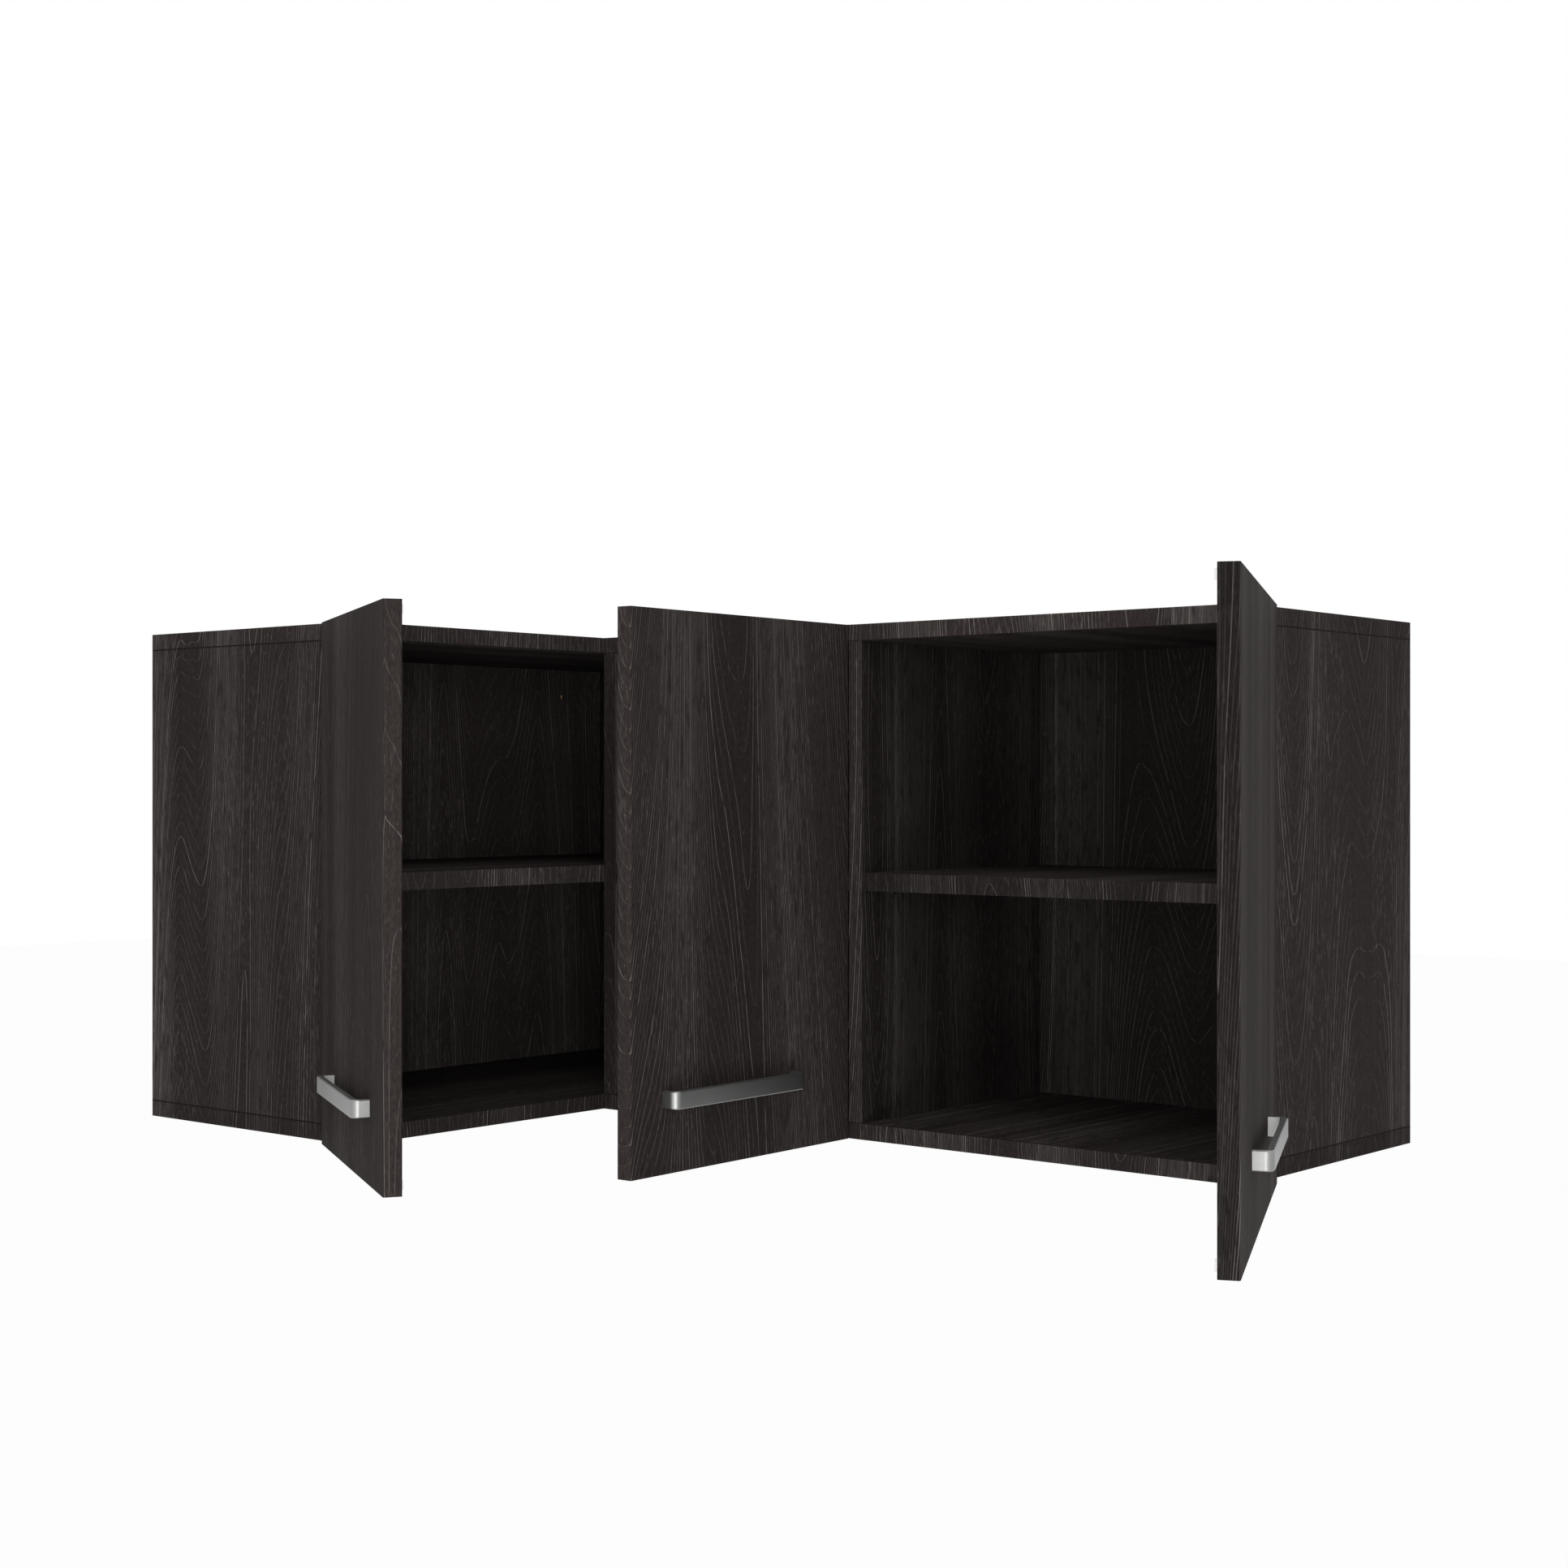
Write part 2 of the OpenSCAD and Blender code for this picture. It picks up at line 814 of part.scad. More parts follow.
module arm_screws(face) {
    len = arm_h - ridge_h;
    for (y = arm_screw_ys)
        translate([face + plate_t + ridge_h, y, 0]) rotate([0, 90, 0]) {
            cylinder(d = arm_screw_d, h = len);
            translate([0, 0, len]) cylinder(d = arm_head_d, h = arm_head_h);
        }
}

module hinge_arm_screws() {
    color(steel) {
        on_left() each_hinge() arm_screws(board_t);
        on_right() each_hinge() arm_screws(board_t);
        on_middle() each_hinge() arm_screws(middle_face);
    }
}

module hinge_arms_left() {
    color(steel) on_left() each_hinge() arm_outer();
}

module hinge_arms_right() {
    color(steel) on_right() each_hinge() arm_outer();
}

// Flat strip of thickness t that follows a bent middle line.
function unit(v) = v / norm(v);
function left_of(v) = [-v[1], v[0]];
function leg_side(line, i) = left_of(unit(line[i + 1] - line[i]));
function strip_point(line, i, d) =
    let (last = len(line) - 1)
    let (before = leg_side(line, max(i - 1, 0)), after = leg_side(line, min(i, last - 1)))
    line[i] + (before + after) * d / (1 + before * after);

module strip_plan(line, t) {
    last = len(line) - 1;
    polygon(concat(
        [for (i = [0:last]) strip_point(line, i, t / 2)],
        [for (i = [last:-1:0]) strip_point(line, i, -t / 2)]));
}

// Arm of the middle hinge: it reaches forward past the divider and bends
// back into the cup, where the pin holds it.
module arm_middle() {
    base = middle_face + plate_t;
    difference() {
        union() {
            translate([0, 0, -arm_w / 2]) linear_extrude(arm_w)
                square_from(base, -arm_back, arm_h, arm_back - arm_front);
            translate([0, 0, -lever_w / 2]) linear_extrude(lever_w) finger_plan(base);
        }
        ridge_channel(base, arm_back - fork_back);
        across(middle_axis, pin_d + 2 * pin_play, 2 * arm_w);
        arm_screw_holes(base);
    }
}

module finger_plan(base) {
    root_x = base + arm_h - finger_t / 2;
    leg_x = middle_axis[0] + finger_leg_in;
    root_front = -arm_front + finger_root / 2;
    strip_plan([[root_x, root_front - finger_root], [root_x, root_front], [leg_x, -finger_bend],
        [leg_x, middle_axis[1]], middle_axis], finger_t);
    translate(middle_axis) circle(finger_eye_r);
}

module hinge_arms_middle() {
    color(steel) on_middle() each_hinge() arm_middle();
}

// Lever of an outer hinge, drawn open: from the arm's pin forward past
// the side's front edge, across it and back round into the cup.
function turned(p, c, angle) = [
    c[0] + (p[0] - c[0]) * cos(angle) - (p[1] - c[1]) * sin(angle),
    c[1] + (p[0] - c[0]) * sin(angle) + (p[1] - c[1]) * cos(angle)
];
lever_tip_open = turned(lever_tip, outer_axis, outer_travel);
lever_reach = norm(lever_tip_open - arm_pin);
elbow_reach = norm(lever_elbow - arm_pin);
elbow_angle = atan2(lever_elbow[1] - arm_pin[1], lever_elbow[0] - arm_pin[0]);
tip_angle = atan2(lever_tip_open[1] - arm_pin[1], lever_tip_open[0] - arm_pin[0]);
tip_sweep = (tip_angle - elbow_angle + 360) % 360;

function curve_point(s) =
    let (r = elbow_reach + (lever_reach - elbow_reach) * s, a = elbow_angle + tip_sweep * s)
    [arm_pin[0] + r * cos(a), arm_pin[1] + r * sin(a)];

lever_steps = 6;
lever_line = concat([arm_pin, lever_knee], [for (k = [0:lever_steps]) curve_point(k / lever_steps)]);

module lever_plan() {
    strip_plan(lever_line, lever_t);
    translate(arm_pin) circle(lever_eye_r);
    translate(lever_tip_open) circle(lever_eye_r);
}

module lever_open() {
    difference() {
        translate([0, 0, -lever_w / 2]) linear_extrude(lever_w) lever_plan();
        across(arm_pin, pin_d + 2 * pin_play, 2 * arm_w);
        across(lever_tip_open, pin_d, 2 * arm_w);
    }
}

// Turns a fully open lever back to the shown opening angle.
module lever_at(open_angle) {
    opened(arm_pin, (open_angle - outer_travel) * lever_ratio) children();
}

module hinge_levers_left() {
    color(satin) on_left() lever_at(left_open) each_hinge() lever_open();
}

module hinge_levers_right() {
    color(satin) on_right() lever_at(right_open) each_hinge() lever_open();
}

module arm_pins_left() {
    color(steel) on_left() each_hinge() across(arm_pin, pin_d, arm_w);
}

module arm_pins_right() {
    color(steel) on_right() each_hinge() across(arm_pin, pin_d, arm_w);
}

module lever_pins_left() {
    color(steel) on_left() lever_at(left_open) each_hinge() across(lever_tip_open, pin_d, arm_w);
}

module lever_pins_right() {
    color(steel) on_right() lever_at(right_open) each_hinge() across(lever_tip_open, pin_d, arm_w);
}

module hinge_pins_middle() {
    color(steel) on_middle() each_hinge() across(middle_axis, pin_d, arm_w);
}

// Soft dots on the doors' backs, in the corners at the free edge.
bumper_d = 8;
bumper_inset = 12;
bumper_play = 0.3;

module bumpers_closed(inset, width) {
    for (z = [board_t / 2, height - board_t / 2])
        translate([inset + width - bumper_inset, door_gap, z]) rotate([90, 0, 0])
            cylinder(d = bumper_d, h = door_gap - bumper_play);
}

// Each door's things, drawn closed and turned to the opening angle shown.
module left_opened() {
    on_left() opened(outer_axis, left_open) children();
}

module middle_opened() {
    on_middle() opened(middle_axis, middle_open) children();
}

module right_opened() {
    on_right() opened(outer_axis, right_open) children();
}

outer_cup_mid = cup_mid(door_inset, cup_tab);
middle_cup_mid = cup_mid(middle_inset, middle_tab);
left_handle_x = door_inset + left_door_w / 2 + handle_shift;
right_handle_x = door_inset + right_door_w / 2 + handle_shift;
// The right door's free edge swings past the middle door's handle
handle_len = handle_pitch + handle_bar;
middle_handle_x = middle_inset + (middle_door_w - handle_len) * middle_handle_share + handle_len / 2;

module door_left() {
    color(wood) left_opened() door_closed(door_inset, left_door_w, outer_cup_mid, left_handle_x);
}

module door_middle() {
    color(wood) middle_opened()
        door_closed(middle_inset, middle_door_w, middle_cup_mid, middle_handle_x);
}

module door_right() {
    color(wood) right_opened() door_closed(door_inset, right_door_w, outer_cup_mid, right_handle_x);
}

module handle_left() {
    color(satin) left_opened() handle_closed(left_handle_x);
}

module handle_middle() {
    color(satin) middle_opened() handle_closed(middle_handle_x);
}

module handle_right() {
    color(satin) right_opened() handle_closed(right_handle_x);
}

module handle_screws_left() {
    color(steel) left_opened() handle_screw_pair(left_handle_x);
}

module handle_screws_middle() {
    color(steel) middle_opened() handle_screw_pair(middle_handle_x);
}

module handle_screws_right() {
    color(steel) right_opened() handle_screw_pair(right_handle_x);
}

module hinge_cups_left() {
    color(steel) left_opened() hinge_cups_outer();
}

module hinge_cups_middle() {
    color(steel) middle_opened() hinge_cups_middle_closed();
}

module hinge_cups_right() {
    color(steel) right_opened() hinge_cups_outer();
}

module cup_screws_left() {
    color(steel) left_opened() cup_screws(outer_cup_mid);
}

module cup_screws_middle() {
    color(steel) middle_opened() cup_screws(middle_cup_mid);
}

module cup_screws_right() {
    color(steel) right_opened() cup_screws(outer_cup_mid);
}

module door_bumpers_left() {
    color(clear) left_opened() bumpers_closed(door_inset, left_door_w);
}

module door_bumpers_middle() {
    color(clear) middle_opened() bumpers_closed(middle_inset, middle_door_w);
}

module door_bumpers_right() {
    color(clear) right_opened() bumpers_closed(door_inset, right_door_w);
}

top_board();
bottom_board();
side_left();
corner_upright();
divider();
side_right();
back_panel_left();
back_panel_right();
top_rail_left();
top_rail_right();
bottom_rail_left();
bottom_rail_right();
corner_batten();
shelf_left();
shelf_middle();
shelf_right();
shelf_pins();
carcass_screws();
dowels();
door_left();
door_middle();
door_right();
handle_left();
handle_middle();
handle_right();
handle_screws_left();
handle_screws_middle();
handle_screws_right();
hinge_cups_left();
hinge_cups_middle();
hinge_cups_right();
hinge_plates();
hinge_plate_screws();
hinge_arms_left();
hinge_arms_middle();
hinge_arms_right();
hinge_arm_screws();
hinge_levers_left();
hinge_levers_right();
arm_pins_left();
arm_pins_right();
lever_pins_left();
lever_pins_right();
hinge_pins_middle();
cup_screws_left();
cup_screws_middle();
cup_screws_right();
door_bumpers_left();
door_bumpers_middle();
door_bumpers_right();
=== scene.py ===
import math

import bmesh
import bpy
from mathutils import Matrix, Vector


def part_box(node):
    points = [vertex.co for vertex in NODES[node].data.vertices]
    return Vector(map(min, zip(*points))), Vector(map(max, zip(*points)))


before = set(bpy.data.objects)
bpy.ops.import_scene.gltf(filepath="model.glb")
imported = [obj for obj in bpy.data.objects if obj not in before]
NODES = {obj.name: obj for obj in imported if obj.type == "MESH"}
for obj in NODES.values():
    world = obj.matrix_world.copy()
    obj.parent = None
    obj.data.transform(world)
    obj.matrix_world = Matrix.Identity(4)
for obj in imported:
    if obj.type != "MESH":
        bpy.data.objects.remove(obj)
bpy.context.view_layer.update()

# Axes that the grain follows: X is 0, Y is 1 and Z is 2.
UPRIGHT = 2
FLAT_GRAIN = 1

# Camera: where the photograph was taken from, in metres, and its lens.
CAMERA_PLACE = (1.9371, -1.9780, 0.3173)
CAMERA_TURN = 40.0
LENS_MM = 55.0
SENSOR_MM = 36.0

# The cabinet hangs above the floor.
FLOOR_Z = -1.35
FLOOR_SIZE = 40.0
FLOOR_GREYS = ((0.80, 0.80, 0.80, 1.0), (0.84, 0.84, 0.84, 1.0))
# Share of plain white in the floor that the camera sees; the rest keeps the shadow.
FLOOR_WHITE = 0.97
WHITE = (1.0, 1.0, 1.0, 1.0)
WORLD_LIGHT = 0.30

# Lamps: name, place, what it points at, width and watts.
LAMPS = (
    ("front_lamp", (2.15, -2.10, 0.45), (0.5, -0.3, 0.2), 1.0, 20.0),
    ("high_lamp", (2.0, -2.0, 2.6), (0.5, -0.3, 0.2), 1.6, 24.0),
    ("low_lamp", (2.0, -2.2, -0.9), (0.5, -0.3, 0.2), 1.2, 20.0),
    ("left_lamp", (0.6, -3.2, 0.8), (0.3, -0.5, 0.2), 1.6, 10.0),
    ("right_lamp", (3.4, -1.2, 0.8), (0.8, -0.3, 0.2), 1.6, 6.0),
)

OUTER_SIDES = ("side_left", "side_right")
UPRIGHT_BOARDS = (
    "corner_upright", "divider", "door_left", "door_middle", "door_right",
)
# Back panels, with the axis and sign of the face that lies to the wall.
BACK_PANELS = {"back_panel_left": ("X", -1.0), "back_panel_right": ("Y", 1.0)}
FLAT_BOARDS = ("top_board", "bottom_board", "shelf_left", "shelf_middle", "shelf_right")
# Softwood pieces, by the axis that their grain follows.
BATTENS = {
    0: ("top_rail_right", "bottom_rail_right"),
    1: ("top_rail_left", "bottom_rail_left"),
    2: ("corner_batten", "dowels"),
}
HANDLES = ("handle_left", "handle_middle", "handle_right")
BUMPERS = ("door_bumpers_left", "door_bumpers_middle", "door_bumpers_right")

WOOD_DEEP = (0.0110, 0.0084, 0.0081, 1.0)
WOOD_BASE = (0.0420, 0.0350, 0.0332, 1.0)
WOOD_PALE = (0.2700, 0.2480, 0.2350, 1.0)
WOOD_ROUGH = 0.62
WOOD_GLOSS = 0.02

# The figure is drawn as contour lines of a slow noise, this many to its range.
FIGURE_LINES = 190.0
# A line's width, in metres, measured across the grain.
LINE_WIDTH = 0.0008
# Where a dark joint line starts to fade and where it ends, in metres from the joint.
JOINT_LINE = (0.0004, 0.0009)
# How much a face points along the wide faces' direction, as a cosine: up to the
# first value it is a narrow face, and from the second a wide one.
WIDE_LEAN = (0.3, 0.7)
# Figure of the narrow faces, shared by the boards that meet there.
EDGE_SEED = 0.37
# Figures of the other boards: the first board's seed and the step to the next.
UPRIGHT_SEEDS = (1.50, 1.13)
PANEL_SEEDS = (3.76, 1.13)
FLAT_SEEDS = (5.31, 0.87)
# Painted light and shade: how light a board's wide faces and its narrow faces are,
# where 1 is the decor's plain tone. The real decor looks the same all over. These
# values make a board about as bright under the lamps above as the photograph shows it,
# and they leave the boards uneven under other light. Without them every board has the
# plain tone.
BOARD_PAINTED_LIGHT = {
    "side_right": (1.20, 1.00),
    "divider": (0.54, 0.95),
    "door_left": (1.00, 1.15),
    "door_middle": (0.94, 1.35),
    "door_right": (1.00, 0.42),
    "back_panel_left": (1.75, 1.00),
    "back_panel_right": (0.80, 1.00),
    "top_board": (1.00, 1.15),
    "bottom_board": (1.00, 0.85),
    "shelf_left": (1.00, 1.45),
    "shelf_right": (1.00, 0.66),
}
PLAIN_TONE = (1.00, 1.00)

HARDBOARD_BROWNS = ((0.105, 0.058, 0.030, 1.0), (0.235, 0.140, 0.078, 1.0))
SOFTWOOD_PALE = (0.66, 0.50, 0.33, 1.0)
SOFTWOOD_RING = (0.44, 0.27, 0.13, 1.0)
SATIN_GREYS = ((0.23, 0.23, 0.228, 1.0), (0.34, 0.34, 0.336, 1.0))
NICKEL_GREYS = ((0.52, 0.52, 0.50, 1.0), (0.6136, 0.6136, 0.59, 1.0))
DOT_GREYS = ((0.62, 0.62, 0.60, 1.0), (0.80, 0.80, 0.78, 1.0))
DOT_ALPHA = 0.20


def feed(tree, slot, value):
    """Links a socket or a Sum to a node's input, or sets a plain value there."""
    if isinstance(value, Sum):
        value = value.socket
    if isinstance(value, bpy.types.NodeSocket):
        tree.links.new(value, slot)
    else:
        slot.default_value = value


def add_node(tree, kind, settings=None, values=(), **sockets):
    """A node with its settings, its first inputs in order and others by name."""
    node = tree.nodes.new(kind)
    for key, value in (settings or {}).items():
        setattr(node, key, value)
    for slot, value in zip(node.inputs, values):
        feed(tree, slot, value)
    for key, value in sockets.items():
        feed(tree, node.inputs[key.replace("_", " ")], value)
    return node


class Sum:
    """A socket's value in an expression; each operator adds its Math node."""

    def __init__(self, tree, socket):
        self.tree = tree
        self.socket = socket

    def math(self, operation, *others):
        node = add_node(self.tree, "ShaderNodeMath", {"operation": operation}, (self,) + others)
        return Sum(self.tree, node.outputs[0])

    def __add__(self, other):
        return self.math("ADD", other)

    __radd__ = __add__

    def __sub__(self, other):
        return self.math("SUBTRACT", other)

    def __rsub__(self, other):
        return (self * -1.0) + other

    def __mul__(self, other):
        return self.math("MULTIPLY", other)

    __rmul__ = __mul__

    def __pow__(self, other):
        return self.math("POWER", other)

    def sine(self):
        return self.math("SINE")

    def size(self):
        return self.math("ABSOLUTE")

    def above(self, edge):
        return self.math("GREATER_THAN", edge)

    def most(self, other):
        return self.math("MAXIMUM", other)

    def between(self, low, high):
        """A smooth step from 0 at low to 1 at high."""
        node = add_node(self.tree, "ShaderNodeMapRange", {"interpolation_type": "SMOOTHSTEP"},
                        Value=self, From_Min=low, From_Max=high)
        return Sum(self.tree, node.outputs["Result"])


class Finish:
    """One material's node tree, with the shader that every finish ends in."""

    def __init__(self, name):
        self.material = bpy.data.materials.new(name)
        self.material.use_nodes = True
        self.tree = self.material.node_tree
        self.shader = self.tree.nodes["Principled BSDF"]
        spot = self.node("ShaderNodeTexCoord")
        self.place = spot.outputs["Object"]
        self.facing = spot.outputs["Normal"]

    def node(self, kind, settings=None, values=(), **sockets):
        return add_node(self.tree, kind, settings, values, **sockets)

    def number(self, node, output):
        return Sum(self.tree, node.outputs[output])

    def stretched(self, scale, shift=(0.0, 0.0, 0.0), place=None):
        return self.node("ShaderNodeMapping", Vector=place or self.place, Location=shift,
                         Scale=scale).outputs["Vector"]

    def noise(self, vector, detail=2.0, rough=0.5):
        return self.number(self.node("ShaderNodeTexNoise", Vector=vector, Scale=1.0,
                                     Detail=detail, Roughness=rough), "Fac")

    def vectors(self, operation, first, second):
        return self.node("ShaderNodeVectorMath", {"operation": operation},
                         (first, second)).outputs["Vector"]

    def towards(self, direction):
        """How much a face points in a direction, as a cosine."""
        return self.number(self.node("ShaderNodeVectorMath", {"operation": "DOT_PRODUCT"},
                                     (self.facing, direction)), "Value")

    def part(self, vector, axis):
        return self.number(self.node("ShaderNodeSeparateXYZ", Vector=vector), axis)

    def blend(self, factor, first, second):
        node = self.node("ShaderNodeMix", {"data_type": "RGBA"})
        by_name = {slot.identifier: slot for slot in node.inputs}
        feed(self.tree, by_name["Factor_Float"], factor)
        feed(self.tree, by_name["A_Color"], first)
        feed(self.tree, by_name["B_Color"], second)
        return node.outputs[2]

    # Scales a colour by a factor; it carries the boards' painted light and shade.
    def painted_light_scale(self, colour, factor):
        return self.node("ShaderNodeVectorMath", {"operation": "SCALE"}, Vector=colour,
                         Scale=factor).outputs["Vector"]

    def bump(self, height, strength, distance):
        return self.node("ShaderNodeBump", Strength=strength, Distance=distance,
                         Height=height).outputs["Normal"]

    def end(self, colour, roughness, normal=None, **fixed):
        """Feeds the shader; what is the same all over is set on its own socket."""
        feed(self.tree, self.shader.inputs["Base Color"], colour)
        feed(self.tree, self.shader.inputs["Roughness"], roughness)
        if normal is not None:
            feed(self.tree, self.shader.inputs["Normal"], normal)
        for key, value in fixed.items():
            self.shader.inputs[key.replace("_", " ")].default_value = value
        return self.material


def grain_scale(across, length, along):
    """Scale of a noise that is stretched along the axis that a grain follows."""
    return tuple(length if axis == along else across for axis in range(3))


def figure(finish, along, seed):
    """Grain of one board: how pale it is, its ground and its height, at each point.

    along is the axis that the grain follows, and seed moves the figure.
    """
    shift = (seed * 1.7, seed * 2.3, seed * 0.9)

    def grain(across, length, detail, rough=0.5, place=None):
        """Noise with about this many features to a metre, across the grain and along it."""
        scale = grain_scale(across, length, along)
        return finish.noise(finish.stretched(scale, shift, place), detail, rough)

    def contour(place):
        slow = grain(7.0, 0.46, 0.4, place=place)
        sway = grain(34.0, 4.0, 1.0, place=place)
        return ((slow + sway * 0.012) * FIGURE_LINES).math("FLOOR")

    # A line is where the contour's number changes within one line's width.
    step = tuple(LINE_WIDTH if axis == along else 0.0 for axis in range(3))
    aside = finish.vectors("CROSS_PRODUCT", finish.facing, step)
    here = contour(finish.place)
    there = contour(finish.vectors("ADD", finish.place, aside))
    edge = (here - there).size().math("MINIMUM", 1.0)
    pick = finish.node("ShaderNodeTexWhiteNoise", {"noise_dimensions": "1D"},
                       W=here.most(there) + seed)
    strength = finish.number(pick, "Value") ** 5.0

    cloud = grain(13.0, 3.2, 1.5)
    broken = grain(260.0, 45.0, 1.5)
    mottle = grain(760.0, 210.0, 1.5, 0.7)
    fibre = grain(360.0, 6.0, 2.0, 0.6)
    dash = grain(620.0, 85.0, 1.0)

    lines = edge * (strength * 0.60 + 0.18) * broken.between(0.24, 0.52)
    pores = dash.between(0.58, 0.72) * cloud.between(0.40, 0.62)
    specks = mottle.between(0.68, 0.78)
    pale = lines * 0.60 + pores * 0.13 + specks * 0.20
    ground = mottle * 1.00 + fibre * 0.45 + cloud * 0.20 - 0.36
    height = mottle * 0.5 + fibre * 0.5 + lines * 0.7
    return pale, ground, height


def hardboard(finish):
    """Brown pressed fibre of a back panel's wall side."""
    fibre = finish.noise(finish.stretched((700.0, 700.0, 700.0)), 3.0, 0.7)
    blotch = finish.noise(finish.stretched((22.0, 22.0, 22.0)), 3.0)
    return finish.blend(fibre * 0.7 + blotch * 0.6 - 0.15, *HARDBOARD_BROWNS)


def wide_direction(board):
    """Where a board's wide faces point, taken from its largest triangle."""
    widest = max(NODES[board].data.polygons, key=lambda face: face.area)
    return tuple(widest.normal)


def wood(board, along, seed, joints=(), wall_side=None):
    """Dark decor with fine pale grain, upright on a flat board's narrow faces.

    joints are the heights at which the carcass boards meet, as thin dark lines.
    wall_side is the axis and sign of a back panel's bare face.
    """
    finish = Finish("dark_wood_" + board)
    pale, ground, height = figure(finish, along, seed)
    narrow = 1.0 - finish.towards(wide_direction(board)).size().between(*WIDE_LEAN)
    if along != UPRIGHT:
        own_and_edge = zip((pale, ground, height), figure(finish, UPRIGHT, EDGE_SEED))
        pale, ground, height = (own + (edge - own) * narrow for own, edge in own_and_edge)
    if joints:
        lying = finish.part(finish.facing, "Z").size().above(0.5)
        level = finish.part(finish.place, "Z")
        for joint in joints:
            clear = (level - joint).size().between(*JOINT_LINE).most(lying)
            pale, ground = pale * clear, ground * clear
    colour = finish.blend(pale, finish.blend(ground, WOOD_DEEP, WOOD_BASE), WOOD_PALE)
    # Painted light and shade: the colour is scaled by the board's own factors, one for its wide
    # faces and one for its narrow faces.
    wide_painted_light, narrow_painted_light = BOARD_PAINTED_LIGHT.get(board, PLAIN_TONE)
    colour = finish.painted_light_scale(colour, wide_painted_light + narrow * (narrow_painted_light - wide_painted_light))
    if wall_side:
        axis, sign = wall_side
        bare = (finish.part(finish.facing, axis) * sign).above(0.5)
        colour = finish.blend(bare, colour, hardboard(finish))
    normal = finish.bump(height, 0.35, 0.0002)
    return finish.end(colour, WOOD_ROUGH + ground * 0.12, normal, Specular_IOR_Level=WOOD_GLOSS)


def batten(name, along):
    """Sawn softwood whose year rings and fibres run along one axis."""
    finish = Finish(name)
    slow = finish.noise(finish.stretched(grain_scale(16.0, 1.1, along)), 1.0)
    rings = ((slow * 75.0).sine() * 0.5 + 0.5) ** 2.0
    fibre = finish.noise(finish.stretched(grain_scale(520.0, 14.0, along)), 3.0, 0.6)
    colour = finish.blend(rings * 0.55 + fibre * 0.55 - 0.05, SOFTWOOD_PALE, SOFTWOOD_RING)
    normal = finish.bump(fibre + rings * 0.5, 0.3, 0.0004)
    return finish.end(colour, 0.68 + fibre * 0.12, normal, Specular_IOR_Level=0.3)


def satin_handle():
    finish = Finish("satin_nickel")
    brushed = finish.noise(finish.stretched((160.0, 160.0, 2400.0)), 3.0, 0.6)
    cloud = finish.noise(finish.stretched((30.0, 30.0, 30.0)))
    colour = finish.blend(brushed * 0.5 + cloud * 0.5, *SATIN_GREYS)
    normal = finish.bump(brushed, 0.12, 0.0001)
    return finish.end(colour, 0.36 + brushed * 0.12, normal, Metallic=1.0)


def plated_steel():
    finish = Finish("bright_nickel_plate")
    cloud = finish.noise(finish.stretched((140.0, 140.0, 140.0)), 3.0)
    scratch = finish.noise(finish.stretched((900.0, 900.0, 60.0)))
    colour = finish.blend(cloud, *NICKEL_GREYS)
    normal = finish.bump(scratch, 0.10, 0.0001)
    return finish.end(colour, 0.24 + scratch * 0.10, normal, Metallic=1.0)


def clear_dot():
    finish = Finish("clear_soft_dot")
    haze = finish.noise(finish.stretched((300.0, 300.0, 300.0)))
    colour = finish.blend(haze, *DOT_GREYS)
    normal = finish.bump(haze, 0.1, 0.0002)
    return finish.end(colour, 0.25 + haze * 0.15, normal, Alpha=DOT_ALPHA)


def paint(names, material):
    for name in names:
        slots = NODES[name].data.materials
        slots.clear()
        slots.append(material)


def seeded(boards, first, step):
    """Each board with the seed of its own figure."""
    return [(board, first + count * step) for count, board in enumerate(boards)]


def dress_cabinet():
    """Gives each board its own figure, and every other node the finish of its kind."""
    paint(NODES, plated_steel())
    joints = (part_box("side_left")[0][2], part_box("side_left")[1][2])
    for board in OUTER_SIDES:
        paint([board], wood(board, UPRIGHT, EDGE_SEED, joints))
    for board, seed in seeded(UPRIGHT_BOARDS, *UPRIGHT_SEEDS):
        paint([board], wood(board, UPRIGHT, seed))
    for board, seed in seeded(BACK_PANELS, *PANEL_SEEDS):
        paint([board], wood(board, UPRIGHT, seed, wall_side=BACK_PANELS[board]))
    for board, seed in seeded(FLAT_BOARDS, *FLAT_SEEDS):
        paint([board], wood(board, FLAT_GRAIN, seed, joints))
    for along, names in BATTENS.items():
        paint(names, batten("softwood_batten_" + "xyz"[along], along))
    paint(HANDLES, satin_handle())
    paint(BUMPERS, clear_dot())


def white_to_the_camera(tree):
    """One where a ray sees the plain white background, and nought elsewhere."""
    path = add_node(tree, "ShaderNodeLightPath")
    camera, glossy, through = (
        Sum(tree, path.outputs[kind])
        for kind in ("Is Camera Ray", "Is Glossy Ray", "Is Transmission Ray")
    )
    return camera.most(glossy).most(through)


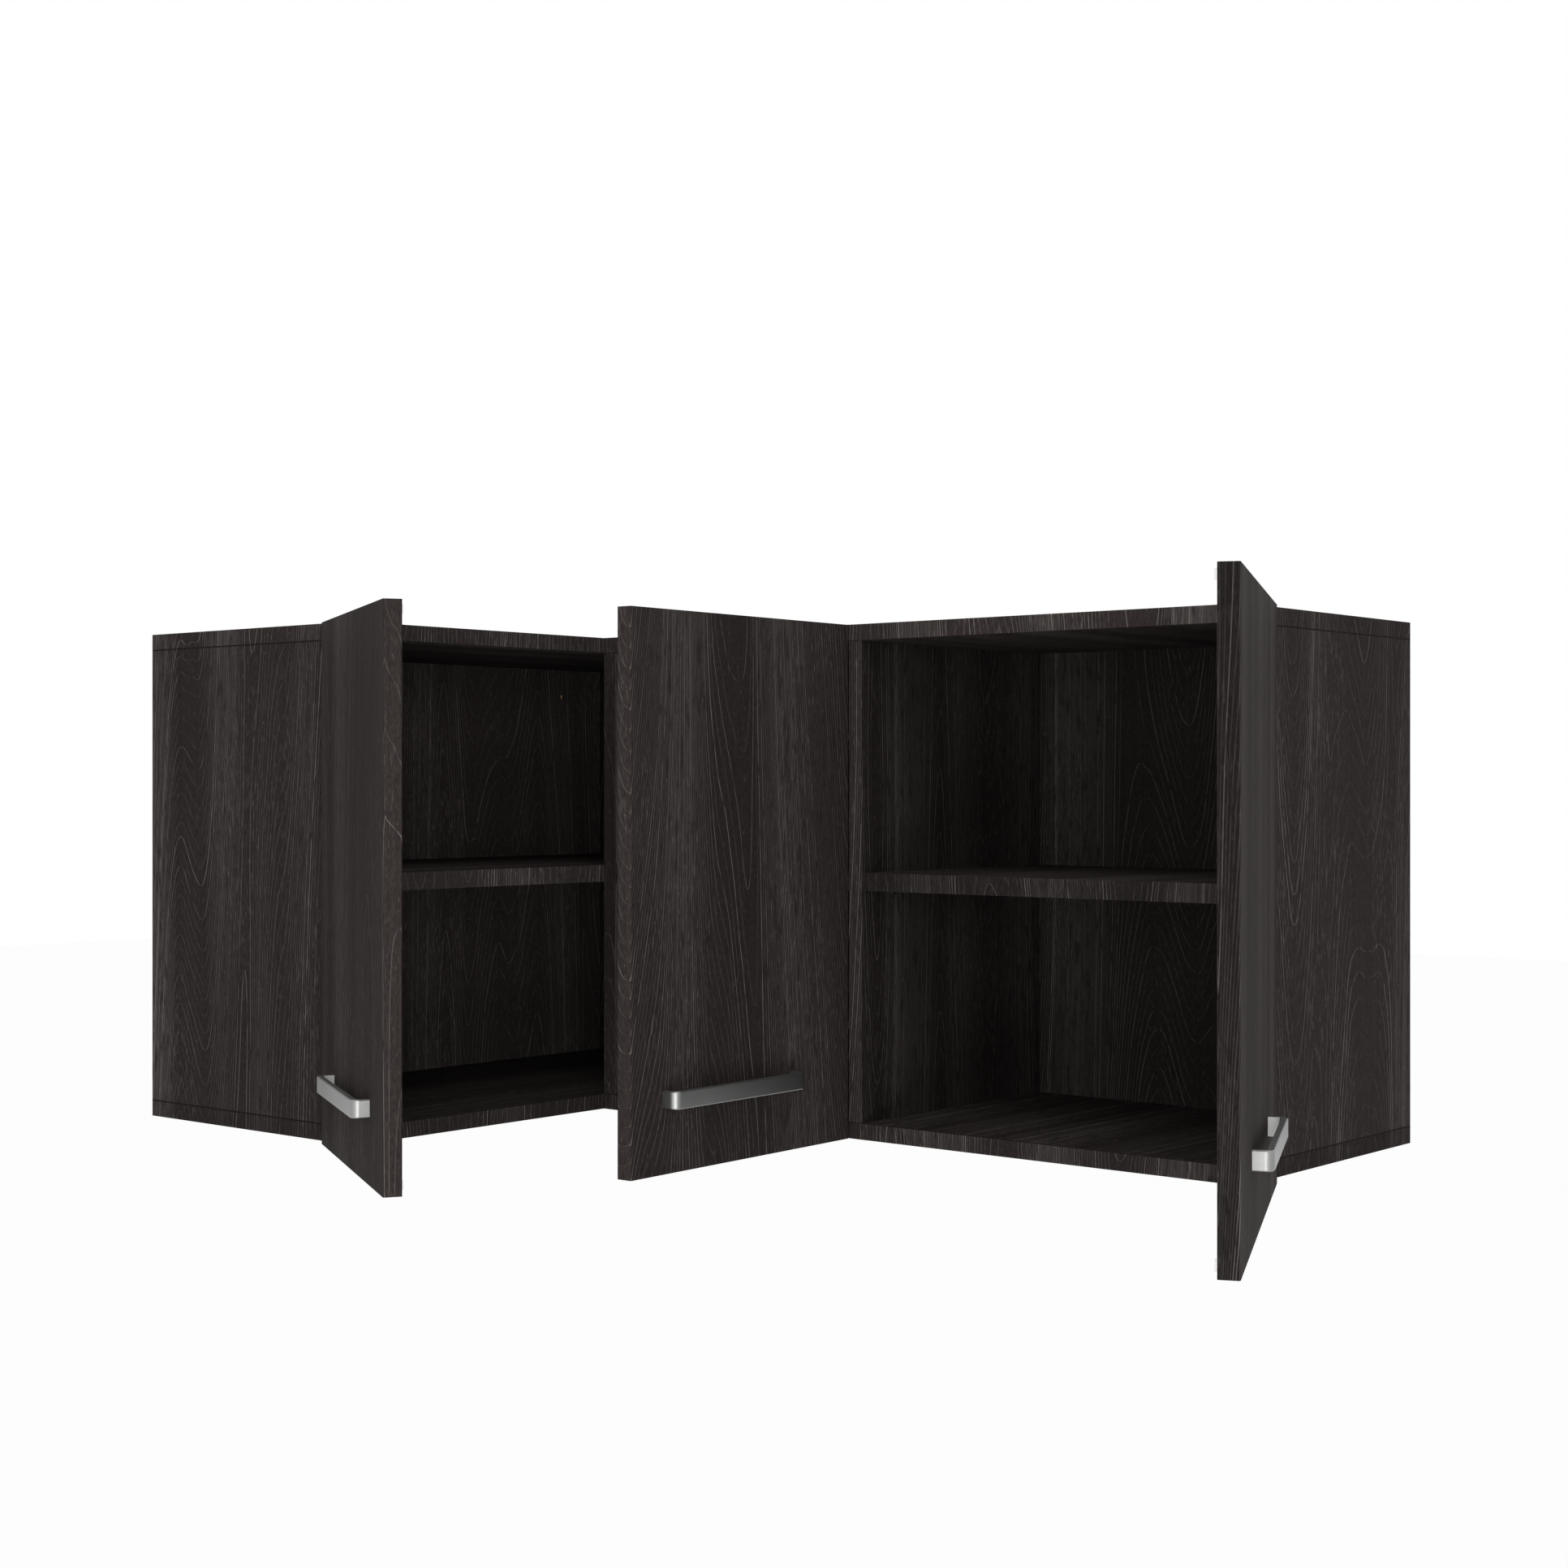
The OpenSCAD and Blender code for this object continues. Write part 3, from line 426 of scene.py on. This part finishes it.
def make_world():
    world = bpy.data.worlds.new("studio")
    bpy.context.scene.world = world
    world.use_nodes = True
    tree = world.node_tree
    light = tree.nodes["Background"]
    feed(tree, light.inputs["Color"], WHITE)
    feed(tree, light.inputs["Strength"], WORLD_LIGHT)
    white = add_node(tree, "ShaderNodeBackground", Color=WHITE, Strength=1.0)
    mix = add_node(tree, "ShaderNodeMixShader", None,
                   (white_to_the_camera(tree), light.outputs[0], white.outputs[0]))
    feed(tree, tree.nodes["World Output"].inputs["Surface"], mix.outputs[0])


def make_floor():
    mesh = bmesh.new()
    bmesh.ops.create_grid(mesh, x_segments=1, y_segments=1, size=FLOOR_SIZE / 2,
                          matrix=Matrix.Translation((0.0, 0.0, FLOOR_Z)))
    data = bpy.data.meshes.new("floor")
    mesh.to_mesh(data)
    mesh.free()
    floor = bpy.data.objects.new("floor", data)
    bpy.context.scene.collection.objects.link(floor)
    finish = Finish("pale_floor")
    grit = finish.noise(finish.stretched((6.0, 6.0, 6.0)))
    finish.end(finish.blend(grit, *FLOOR_GREYS), 0.8)
    glow = finish.node("ShaderNodeEmission", Color=WHITE, Strength=1.0)
    mix = finish.node("ShaderNodeMixShader", None,
                      (white_to_the_camera(finish.tree) * FLOOR_WHITE,
                       finish.shader.outputs[0], glow.outputs[0]))
    feed(finish.tree, finish.tree.nodes["Material Output"].inputs["Surface"], mix.outputs[0])
    data.materials.append(finish.material)


def make_lamp(name, place, target, width, watts):
    data = bpy.data.lights.new(name, "AREA")
    data.shape = "DISK"
    data.size = width
    data.energy = watts
    lamp = bpy.data.objects.new(name, data)
    lamp.location = place
    direction = Vector(target) - Vector(place)
    lamp.rotation_euler = direction.to_track_quat("-Z", "Y").to_euler()
    bpy.context.scene.collection.objects.link(lamp)


def make_camera():
    data = bpy.data.cameras.new("camera")
    data.lens = LENS_MM
    data.sensor_width = SENSOR_MM
    data.sensor_fit = "HORIZONTAL"
    camera = bpy.data.objects.new("camera", data)
    camera.location = CAMERA_PLACE
    camera.rotation_euler = (math.radians(90.0), 0.0, math.radians(CAMERA_TURN))
    bpy.context.scene.collection.objects.link(camera)
    bpy.context.scene.camera = camera


bpy.context.scene.view_settings.view_transform = "Standard"
make_camera()
make_world()
make_floor()
for lamp in LAMPS:
    make_lamp(*lamp)
dress_cabinet()
